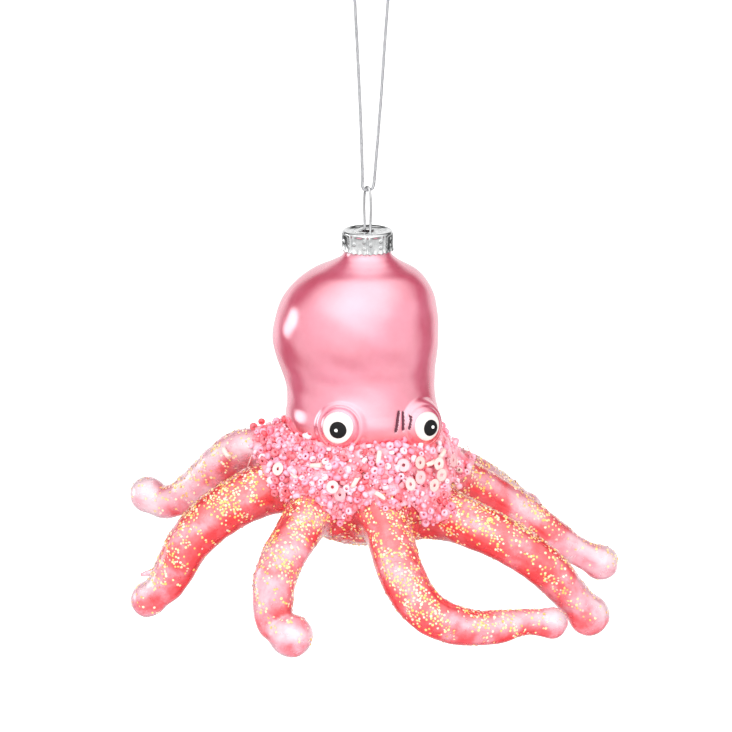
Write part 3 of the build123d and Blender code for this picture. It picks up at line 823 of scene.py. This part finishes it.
# the arms' own paleness, with the painted highlight streak along their upper flanks added in
pale_with_painted_highlight = tree.nodes.new("ShaderNodeAttribute")
pale_with_painted_highlight.attribute_name = "paleness_with_painted_highlight"
clouds = tree.nodes.new("ShaderNodeTexNoise")
finish_shader(clouds, Scale=130, Detail=5, Roughness=0.6)
spread = tree.nodes.new("ShaderNodeMath")
spread.operation = "MULTIPLY_ADD"
spread.inputs[1].default_value = 2.4
spread.inputs[2].default_value = -1.22
paler = tree.nodes.new("ShaderNodeMath")
tones = tree.nodes.new("ShaderNodeValToRGB")
set_stops(tones, [(0.0, (1.0, 0.07, 0.085)), (0.3, (1.0, 0.16, 0.19)), (0.65, (1.0, 0.48, 0.57)),
                  (1.0, (1.0, 0.76, 0.82))])
seeds = tree.nodes.new("ShaderNodeTexNoise")
finish_shader(seeds, Scale=900, Detail=3)
rough = tree.nodes.new("ShaderNodeMapRange")
finish_shader(rough, From_Min=0.3, From_Max=0.7, To_Min=0.05, To_Max=0.3)
waves = tree.nodes.new("ShaderNodeBump")
finish_shader(waves, Strength=0.35, Distance=0.0002)
for socket in (clouds, seeds):
    tree.links.new(place.outputs["Object"], socket.inputs["Vector"])
tree.links.new(clouds.outputs["Fac"], spread.inputs[0])
tree.links.new(spread.outputs["Value"], paler.inputs[0])
tree.links.new(pale_with_painted_highlight.outputs["Fac"], paler.inputs[1])
tree.links.new(paler.outputs["Value"], tones.inputs["Fac"])
tree.links.new(tones.outputs["Color"], shader.inputs["Base Color"])
tree.links.new(seeds.outputs["Fac"], rough.inputs["Value"])
tree.links.new(rough.outputs["Result"], shader.inputs["Roughness"])
tree.links.new(seeds.outputs["Fac"], waves.inputs["Height"])
tree.links.new(waves.outputs["Normal"], shader.inputs["Normal"])

faces = outer_faces.tolist() + (inner_faces[:, ::-1] + len(outer_skin)).tolist()
glass_body = piece_from("glass_hub_and_arms", skin * mm, faces, coral_glass)
glass_body.data.attributes.new("paleness_with_painted_highlight", "FLOAT", "POINT").data.foreach_set("value", paleness_with_painted_highlight)
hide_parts("arm_hub", *arms)
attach(glass_body, "glass")

# ---- glue -----------------------------------------------------------------------------------
# Clear glue, brushed thick and lumpy over the joint of head, bowl and arm roots to bed the
# trim, and tinted by the coral glass under it.
field_ring = (17.5, -121.5)  # the head's rim: how far out and how high
field_reach = 13.5


def field_edge(x, y, z):
    """How far inside the trimmed field's edge places are; it runs lower between the front arms."""
    bearing = np.arctan2(x - foot.x, -(y - foot.y))
    reach = field_reach + 1.3 * np.sin(5 * bearing + 1) + 0.9 * np.sin(11 * bearing + 2)
    for way, width, extra in ((-2.04, 0.6, -3.6), (-0.5, 0.22, 4.5), (0.52, 0.2, 6.0)):
        reach = reach + extra * np.exp(-((bearing - way) / width) ** 2)
    return reach - np.hypot(np.hypot(x - foot.x, y - foot.y) - field_ring[0], z - field_ring[1])


lumps = 0.16 * np.sin(2.1 * grid_x + 1.1 * grid_z) * np.sin(2.3 * grid_y - 0.9 * grid_z)
head_outline = np.array(head_rows)
head_reach = np.interp(-axes[2], -head_outline[:, 1], head_outline[:, 0])[None, None, :]
glue_thickness, glue_gap, glue_top = 0.5, 0.05, -119.6
glue_field = np.maximum(glass_field - glue_thickness - lumps, glue_gap - glass_field)
for bound in (-field_edge(grid_x, grid_y, grid_z), head_reach + glue_gap - out_from_foot,
              grid_z - glue_top):
    glue_field = np.maximum(glue_field, bound)
glue_skin, glue_faces = skin_of(glue_field, 0.0)

tinted_glue = clouded("tinted_glue", 420, 4, [(0.4, (1.0, 0.22, 0.27)), (0.66, (1.0, 0.58, 0.68))],
                      relief=(0.5, 0.0003), IOR=1.47, Transmission_Weight=0.1, Roughness=0.22,
                      Coat_Weight=0.4)
glue = piece_from("glue_brushed", glue_skin * mm, glue_faces.tolist(), tinted_glue)
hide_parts("glue_collar")
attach(glue, "glass")

# ---- scattered trim -------------------------------------------------------------------------
# Loose trim is sprinkled on wet glue and lies as it falls: hexagonal flakes of gold glitter
# along the arms, and pink and red seed beads with fine glass grains between them round the head.


def trim_tree():
    """A tree that scatters a shape over a surface by a mask, each at its own tilt and size."""
    tree = bpy.data.node_groups.new("sprinkled_trim", "GeometryNodeTree")
    tree.interface.new_socket("Geometry", in_out="INPUT", socket_type="NodeSocketGeometry")
    tree.interface.new_socket("Geometry", in_out="OUTPUT", socket_type="NodeSocketGeometry")
    for socket, kind in (("Shape", "Object"), ("Finish", "Material"), ("Mask", "String"),
                         ("Spacing", "Float"), ("Most per Area", "Float"), ("Seed", "Int"),
                         ("Kind From", "Float"), ("Kind To", "Float"), ("Smallest", "Float"),
                         ("Largest", "Float"), ("Tilt", "Float"), ("Lift", "Float"),
                         ("Pile", "Float")):
        tree.interface.new_socket(socket, in_out="INPUT", socket_type=f"NodeSocket{kind}")

    def add(kind, **settings):
        node = tree.nodes.new(kind)
        for setting, value in settings.items():
            setattr(node, setting, value)
        return node

    def link(start, out, end, into):
        tree.links.new(start.outputs[out], end.inputs[into])

    def random(seed, kind="FLOAT"):
        node = add("FunctionNodeRandomValue", data_type=kind)
        node.inputs["Seed"].default_value = seed
        return node

    given, result = add("NodeGroupInput"), add("NodeGroupOutput")
    mask = add("GeometryNodeInputNamedAttribute", data_type="FLOAT")
    sprinkle = add("GeometryNodeDistributePointsOnFaces", distribute_method="POISSON")
    link(given, "Geometry", sprinkle, "Mesh")
    link(given, "Mask", mask, "Name")
    link(mask, "Attribute", sprinkle, "Density Factor")
    link(given, "Spacing", sprinkle, "Distance Min")
    link(given, "Most per Area", sprinkle, "Density Max")
    link(given, "Seed", sprinkle, "Seed")
    # only the kinds asked for stay, so that two trees can share one sprinkling
    kind = random(3)
    above = add("FunctionNodeCompare", data_type="FLOAT", operation="GREATER_EQUAL")
    below = add("FunctionNodeCompare", data_type="FLOAT", operation="LESS_THAN")
    both = add("FunctionNodeBooleanMath", operation="AND")
    sort = add("GeometryNodeSeparateGeometry", domain="POINT")
    for test, bound in ((above, "Kind From"), (below, "Kind To")):
        tree.links.new(kind.outputs[1], test.inputs["A"])
        link(given, bound, test, "B")
    link(above, "Result", both, 0)
    link(below, "Result", both, 1)
    link(both, "Boolean", sort, "Selection")
    keep_normal = add("GeometryNodeStoreNamedAttribute", data_type="FLOAT_VECTOR", domain="POINT")
    keep_normal.inputs["Name"].default_value = "seat_normal"
    link(sprinkle, "Points", keep_normal, "Geometry")
    link(sprinkle, "Normal", keep_normal, "Value")
    link(keep_normal, "Geometry", sort, "Geometry")
    # lifted off the surface, and some piled higher
    normal = add("GeometryNodeInputNamedAttribute", data_type="FLOAT_VECTOR")
    normal.inputs["Name"].default_value = "seat_normal"
    pile = random(11)
    heap = add("ShaderNodeMath", operation="POWER")
    heap.inputs[1].default_value = 3
    height = add("ShaderNodeMath", operation="MULTIPLY_ADD")
    tree.links.new(pile.outputs[1], heap.inputs[0])
    tree.links.new(heap.outputs[0], height.inputs[0])
    link(given, "Pile", height, 1)
    link(given, "Lift", height, 2)
    raise_by = add("ShaderNodeVectorMath", operation="SCALE")
    link(normal, "Attribute", raise_by, 0)
    tree.links.new(height.outputs[0], raise_by.inputs["Scale"])
    lift = add("GeometryNodeSetPosition")
    link(sort, "Selection", lift, "Geometry")
    link(raise_by, "Vector", lift, "Offset")
    # each turned to its seat, then tilted and spun by itself
    upright = add("FunctionNodeAlignRotationToVector", axis="Z")
    link(normal, "Attribute", upright, "Vector")
    spin = random(5, "FLOAT_VECTOR")
    spin.inputs[0].default_value = (-1, -1, -pi)
    spin.inputs[1].default_value = (1, 1, pi)
    tilts = add("ShaderNodeCombineXYZ")
    link(given, "Tilt", tilts, "X")
    link(given, "Tilt", tilts, "Y")
    tilts.inputs["Z"].default_value = 1
    tilted = add("ShaderNodeVectorMath", operation="MULTIPLY")
    tree.links.new(spin.outputs[0], tilted.inputs[0])
    link(tilts, "Vector", tilted, 1)
    as_rotation = add("FunctionNodeEulerToRotation")
    turned = add("FunctionNodeRotateRotation", rotation_space="LOCAL")
    link(tilted, "Vector", as_rotation, "Euler")
    link(upright, "Rotation", turned, "Rotation")
    link(as_rotation, "Rotation", turned, "Rotate By")
    size = random(7)
    tree.links.new(given.outputs["Smallest"], size.inputs[2])
    tree.links.new(given.outputs["Largest"], size.inputs[3])
    shape = add("GeometryNodeObjectInfo")
    link(given, "Shape", shape, "Object")
    seat = add("GeometryNodeInstanceOnPoints")
    link(lift, "Geometry", seat, "Points")
    link(shape, "Geometry", seat, "Instance")
    link(turned, "Rotation", seat, "Rotation")
    tree.links.new(size.outputs[1], seat.inputs["Scale"])
    tone = add("GeometryNodeStoreNamedAttribute", data_type="FLOAT", domain="INSTANCE")
    tone.inputs["Name"].default_value = "own_tone"
    own = random(9)
    link(seat, "Instances", tone, "Geometry")
    tree.links.new(own.outputs[1], tone.inputs["Value"])
    whole = add("GeometryNodeRealizeInstances")
    finish = add("GeometryNodeSetMaterial")
    link(tone, "Geometry", whole, "Geometry")
    link(whole, "Geometry", finish, "Geometry")
    link(given, "Finish", finish, "Material")
    link(finish, "Geometry", result, "Geometry")
    return tree


sprinkled_trim = trim_tree()


def sprinkle(name, points, faces, mask, shape, finish, **sizes):
    """A mesh piece of trim scattered over this surface, in metres, where the mask lets it."""
    bed = piece_from("bed", points, faces, finish)
    bed.data.attributes.new("trim_mask", "FLOAT", "POINT").data.foreach_set("value", mask)
    modifier = bed.modifiers.new("trim", "NODES")
    modifier.node_group = sprinkled_trim
    values = {"Shape": shape, "Finish": finish, "Mask": "trim_mask",
              **{key.replace("_", " "): value for key, value in sizes.items()}}
    for socket in sprinkled_trim.interface.items_tree:
        if socket.in_out == "INPUT" and socket.name in values:
            modifier[socket.identifier] = values[socket.name]
    bpy.context.view_layer.update()
    mesh = bpy.data.meshes.new_from_object(bed.evaluated_get(bpy.context.evaluated_depsgraph_get()))
    bpy.data.objects.remove(bed)
    mesh.name = name
    piece = bpy.data.objects.new(name, mesh)
    scene.collection.objects.link(piece)
    return piece


def pattern(name, points, faces, smooth=True):
    """An unlinked object of unit size, for the tree to scatter."""
    mesh = bpy.data.meshes.new(name)
    mesh.from_pydata(points, [], faces)
    mesh.polygons.foreach_set("use_smooth", [smooth] * len(mesh.polygons))
    return bpy.data.objects.new(name, mesh)


def toned_material(name, tones_of, rough_at, **sockets):
    """A material whose pieces each have their own tone from a ramp."""
    material, tree, shader = new_material(name)
    finish_shader(shader, Roughness=rough_at, **sockets)
    own = tree.nodes.new("ShaderNodeAttribute")
    own.attribute_name = "own_tone"
    ramp = tree.nodes.new("ShaderNodeValToRGB")
    set_stops(ramp, tones_of)
    tree.links.new(own.outputs["Fac"], ramp.inputs["Fac"])
    tree.links.new(ramp.outputs["Color"], shader.inputs["Base Color"])
    return material


flake = pattern("flake", [(cos(pi * i / 3), sin(pi * i / 3), 0) for i in range(6)],
                [tuple(range(6))], smooth=False)
gold_flakes = toned_material("gold_glitter", [
    (0.0, (0.93, 0.50, 0.10)), (0.3, (0.95, 0.64, 0.22)), (0.6, (0.96, 0.72, 0.38)),
    (0.85, (0.96, 0.80, 0.60)), (1.0, (0.95, 0.55, 0.50))], 0.4, Metallic=0.2)
outer_x, outer_y, outer_z = outer_skin.T
outside = slice(len(outer_skin))
outer_ring = np.hypot(from_axis[outside] - field_ring[0], outer_z - field_ring[1])
patches = (np.sin(0.42 * outer_x + 0.3 * outer_z + 1) * np.sin(0.38 * outer_y - 0.25 * outer_z)
           + 0.6 * np.sin(0.9 * outer_x - 0.7 * outer_y + 0.8 * outer_z))
# thickest on the arms' upper sides, with some under the bowl, and thin at the tips and pale arms
glitter_mask = np.clip(0.36 + 0.8 * above_middle[outside] + 0.62 * patches, 0.04, 1)
glitter_mask = np.maximum(glitter_mask, 0.35 * (from_axis[outside] < 22))
glitter_mask *= np.clip((outer_ring - 9) / 5, 0, 1) * (1 - 0.75 * tipward[outside])
glitter_mask *= 1.15 - arm_pale[nearest[outside]]
glitter = sprinkle("arm_glitter", outer_skin * mm, outer_faces.tolist(),
                   np.clip(glitter_mask, 0, 1), flake, gold_flakes, Spacing=0.52 * mm,
                   Most_per_Area=3.4e6, Seed=4, Kind_From=0.0, Kind_To=1.1, Smallest=0.24 * mm,
                   Largest=0.39 * mm, Tilt=0.35, Lift=0.07 * mm, Pile=0.0)
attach(glitter, "glass")


def lathe(profile, sides):
    """Points and faces of a profile of (radius, height) turned about Z, closed on itself."""
    points = [(r * cos(2 * pi * s / sides), r * sin(2 * pi * s / sides), z)
              for r, z in profile for s in range(sides)]
    last = (len(profile) - 1) * sides
    closing = [(last + s, last + (s + 1) % sides, (s + 1) % sides, s) for s in range(sides)]
    return points, grid_faces(len(profile), sides) + closing


seed_bead = pattern("seed_bead", *lathe([(0.34, -0.5), (0.72, -0.62), (0.98, -0.3), (0.98, 0.3),
                                         (0.72, 0.62), (0.34, 0.5)], 9))
grain_ball = bmesh.new()
bmesh.ops.create_icosphere(grain_ball, subdivisions=1, radius=1)
grain_mesh = bpy.data.meshes.new("grain")
grain_ball.to_mesh(grain_mesh)
grain_ball.free()
grain_mesh.polygons.foreach_set("use_smooth", [True] * len(grain_mesh.polygons))
grain_shape = bpy.data.objects.new("grain", grain_mesh)

cells = [np.interp(glue_skin[:, i], axes[i], np.arange(counts[i])).astype(int) for i in range(3)]
on_outside = glass_field[tuple(cells)] > 0.15
bead_mask = np.where(on_outside, np.clip((field_edge(*glue_skin.T) + 0.6) / 1.8, 0, 1), 0)
pink_beads = toned_material("pink_lustre_beads", [
    (0.0, (0.97, 0.25, 0.35)), (0.4, (0.98, 0.38, 0.50)), (0.75, (0.98, 0.52, 0.62)),
    (1.0, (0.99, 0.72, 0.78))], 0.22, Coat_Weight=0.5)
red_beads = toned_material("clear_red_beads", [
    (0.0, (1.0, 0.12, 0.15)), (0.6, (1.0, 0.22, 0.27)), (1.0, (1.0, 0.38, 0.44))],
    0.1, Coat_Weight=0.6, Transmission_Weight=0.25)
beds = (glue_skin * mm, glue_faces.tolist(), bead_mask)
pink_share = 0.76
for name, node, slot, finish, kind_from, kind_to in (
        ("seed_beads_pink_strewn", "seed_beads_pink", "pink_beads", pink_beads, 0.0, pink_share),
        ("seed_beads_red_strewn", "seed_beads_red", "red_beads", red_beads, pink_share, 1.1)):
    beads = sprinkle(name, *beds, seed_bead, finish, Spacing=1.3 * mm, Most_per_Area=1.9e6, Seed=7,
                     Kind_From=kind_from, Kind_To=kind_to, Smallest=0.68 * mm, Largest=1.08 * mm,
                     Tilt=1.2, Lift=0.35 * mm, Pile=0.6 * mm)
    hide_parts(node)
    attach(beads, "glass")
grains = sprinkle("glass_grains", *beds, grain_shape, pink_beads, Spacing=0.85 * mm,
                  Most_per_Area=2.5e6, Seed=19, Kind_From=0.0, Kind_To=0.8, Smallest=0.28 * mm,
                  Largest=0.5 * mm, Tilt=1.0, Lift=0.12 * mm, Pile=0.5 * mm)
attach(grains, "glass")

# ---- bugle beads and sequins ----------------------------------------------------------------
# Cream pearl bugle beads, cut from drawn tube and a little bowed, and thin film sequins with a
# punched hole, dropped flat on the beads.
bed_tree = BVHTree.FromPolygons([tuple(point) for point in np.concatenate([glue_skin, outer_skin])],
                                glue_faces.tolist() + (outer_faces + len(glue_skin)).tolist())


def seat_at(azimuth, height, lift):
    """A place on the glue at this bearing and height, with the way out of it."""
    start = foot + level(azimuth) * 60 + Vector((0, 0, height))
    place, normal, _, _ = bed_tree.ray_cast(start, -level(azimuth))
    normal = (normal * 0.6 + level(azimuth) * 0.4).normalized()
    return place + normal * lift, normal


def turned_axes(normal, turn):
    """Two axes across a normal, the first turned this many degrees from level."""
    flat = Vector((0, 0, 1)).cross(normal).normalized()
    along = Matrix.Rotation(radians(turn), 3, normal) @ flat
    return along, normal.cross(along)


# Each bugle bead: bearing and height of its seat, and its turn from level.
bugle_radius, bugle_bore, bugle_half_length, bugle_bow = 0.6, 0.35, 1.6, 0.35
bugle_seats = [(62, -128.2, 15), (70, -131.0, -20), (19, -128.2, 80), (-22, -128.2, 60),
               (-62, -128.4, -30), (158, -128.5, 20), (168, -131.5, -15), (-7, -122.8, 80),
               (44, -124.6, 30), (-8, -131.5, -40), (-48, -125.2, 10), (30, -125.6, 8),
               (100, -127, 50), (215, -128, 20), (250, -127, -35)]
points, faces = [], []
for azimuth, height, turn in bugle_seats:
    place, normal = seat_at(azimuth, height, 1.1)
    along, across = turned_axes(normal, turn)
    first, sides, stations = len(points), 10, 7
    for radius in (bugle_radius, bugle_bore):
        for station in range(stations):
            t = station / (stations - 1) * 2 - 1
            waist = radius * (1 - 0.1 * (abs(t) > 0.95) * (radius == bugle_radius))
            middle = place + along * t * bugle_half_length - normal * bugle_bow * t * t
            for corner in range(sides):
                a = 2 * pi * corner / sides
                points.append((middle + (across * cos(a) + normal * sin(a)) * waist) * mm)
    wall = stations * sides
    faces += grid_faces(stations, sides, first) + grid_faces(stations, sides, first + wall, flip=True)
    for c in range(sides):
        d = (c + 1) % sides
        faces.append((first + d, first + c, first + wall + c, first + wall + d))
        last = first + (stations - 1) * sides
        faces.append((last + c, last + d, last + wall + d, last + wall + c))
cream_pearl = clouded("cream_pearl", 500, 2, [(0.0, (0.88, 0.56, 0.50)), (1.0, (0.94, 0.76, 0.68))],
                      Roughness=0.2, Coat_Weight=0.8, Transmission_Weight=0.1)
bugles = piece_from("bugle_beads_strewn", points, faces, cream_pearl)
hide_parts("bugle_beads")
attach(bugles, "glass")

# Each sequin: bearing and height of its seat, and how far it tips off the beads.
sequin_seats = [(20.6, -125.0, 4), (34.8, -126.2, -6), (19.2, -128.0, 8), (35.5, -129.0, -10),
                (9.5, -129.3, 5), (8.5, -124.8, 12), (28.7, -130.9, -8), (-35.6, -129.5, 10),
                (-30.3, -131.1, 4), (-72.9, -127.7, -6), (52, -127.0, 8), (84, -128.5, 0),
                (125, -129, 10), (190, -129.5, -8), (262, -128.6, 6)]
sequin_profile = [(0.4, 0.06), (0.75, 0.0), (1.3, -0.02), (1.6, 0.08), (1.6, 0.19), (1.3, 0.1),
                  (0.75, 0.12), (0.4, 0.18)]
points, faces, tones_each = [], [], []
for number, (azimuth, height, tilt) in enumerate(sequin_seats):
    place, normal = seat_at(azimuth, height, 1.75)
    across, over = turned_axes(normal, 20 * number)
    normal = (normal + across * sin(radians(tilt)) * 1.5).normalized()
    across, over = turned_axes(normal, 20 * number)
    disc, disc_faces = lathe(sequin_profile, 24)
    faces += [tuple(len(points) + corner for corner in face) for face in disc_faces]
    points += [(place + across * x + over * y + normal * z) * mm for x, y, z in disc]
    tones_each += [(number * 0.37) % 1] * len(disc)
sequin_film = toned_material("sequin_film", [
    (0.0, (0.90, 0.52, 0.49)), (0.35, (0.92, 0.63, 0.59)), (0.7, (0.90, 0.48, 0.50)),
    (1.0, (0.88, 0.38, 0.42))], 0.25, Metallic=0.1, Coat_Weight=0.7, Coat_Roughness=0.08)
sequins = piece_from("sequins_strewn", points, faces, sequin_film)
sequins.data.attributes.new("own_tone", "FLOAT", "POINT").data.foreach_set("value", tones_each)
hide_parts("sequins")
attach(sequins, "glass")
